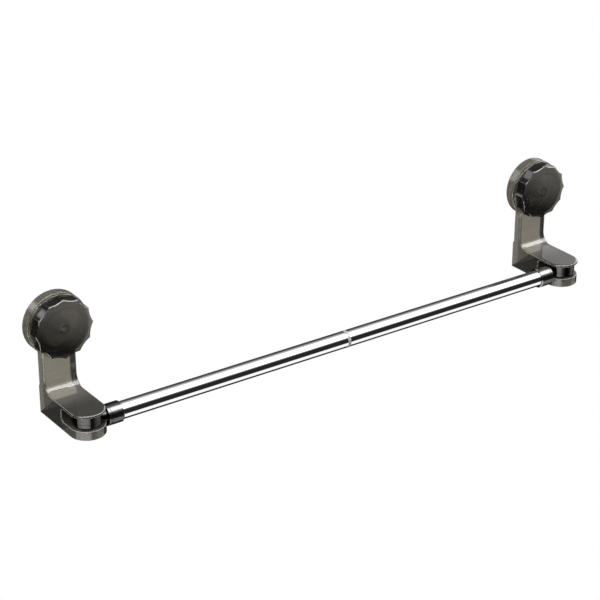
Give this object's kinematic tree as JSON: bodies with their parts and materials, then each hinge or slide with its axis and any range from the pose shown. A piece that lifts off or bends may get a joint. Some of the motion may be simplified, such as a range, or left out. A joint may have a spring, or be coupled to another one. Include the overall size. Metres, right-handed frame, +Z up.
{
  "type": "suction grab bar",
  "caption": "Wall bar with a chrome tube on swivelling smoked-plastic brackets, each held by a screw-down suction head.",
  "frame": {"origin": "centre of the left suction face, on the wall", "axes": "+X along the bar to the right suction head, +Y into the wall, +Z up"},
  "size_m": [0.7018, 0.0833, 0.1336],
  "materials": {
    "smoked_plastic": "gloss, transparent smoked",
    "clear_smoked_plastic": "gloss, transparent smoked",
    "knob_plastic": "gloss, transparent smoked",
    "clear_soft_plastic": "clear soft",
    "steel": "satin",
    "nylon": "matte",
    "ring_plastic": "translucent",
    "black_chrome": "mirror, dark",
    "collar_chrome": "mirror, dark",
    "tube_chrome": "mirror"
  },
  "bodies": {
    "left_bracket_body": {"left_bracket": "smoked_plastic", "left_suction_cup": "clear_soft_plastic", "left_slip_ring": "clear_smoked_plastic", "left_thrust_washer": "steel", "left_pivot_screw": "steel", "left_upper_washer": "nylon", "left_lower_washer": "nylon"},
    "left_knob_body": {"left_knob": "knob_plastic", "left_knob_nut": "steel"},
    "left_stud_body": {"left_cup_stud": "steel"},
    "bar_body": {"left_knuckle": "black_chrome", "left_collar": "collar_chrome", "left_tube": "tube_chrome", "joint_ring": "ring_plastic", "joint_stud": "steel", "left_joint_insert": "nylon", "right_joint_insert": "nylon", "right_tube": "tube_chrome", "right_collar": "collar_chrome", "right_knuckle": "black_chrome"},
    "right_bracket_body": {"right_bracket": "smoked_plastic", "right_suction_cup": "clear_soft_plastic", "right_slip_ring": "clear_smoked_plastic", "right_thrust_washer": "steel", "right_pivot_screw": "steel", "right_upper_washer": "nylon", "right_lower_washer": "nylon"},
    "right_knob_body": {"right_knob": "knob_plastic", "right_knob_nut": "steel"},
    "right_stud_body": {"right_cup_stud": "steel"}
  },
  "joints": [
    {"name": "left_knob_turn", "type": "hinge", "parent": "left_bracket_body", "child": "left_knob_body", "pos_m": [0, 0, 0], "axis": [0, 1, 0], "range_deg": [0, 540]},
    {"name": "left_stud_pull", "type": "slide", "parent": "left_bracket_body", "child": "left_stud_body", "axis": [0, -1, 0], "range_m": [0, 0.00301]},
    {"name": "right_knob_turn", "type": "hinge", "parent": "right_bracket_body", "child": "right_knob_body", "pos_m": [0.634, 0, 0], "axis": [0, 1, 0], "range_deg": [0, 540]},
    {"name": "right_stud_pull", "type": "slide", "parent": "right_bracket_body", "child": "right_stud_body", "axis": [0, -1, 0], "range_m": [0, 0.00301]},
    {"name": "left_swivel", "type": "hinge", "parent": "left_bracket_body", "child": "bar_body", "pos_m": [0, -0.064, -0.0872], "axis": [0, 0, 1], "range_deg": [-180, 0]},
    {"name": "right_swivel", "type": "hinge", "parent": "bar_body", "child": "right_bracket_body", "pos_m": [0.634, -0.064, -0.0872], "axis": [0, 0, 1], "range_deg": [-180, 0]}
  ],
  "couplings": [
    {"joint": "left_stud_pull", "follows": "left_knob_turn", "m_per_rad": 0.00031831},
    {"joint": "right_stud_pull", "follows": "right_knob_turn", "m_per_rad": 0.00031831}
  ]
}
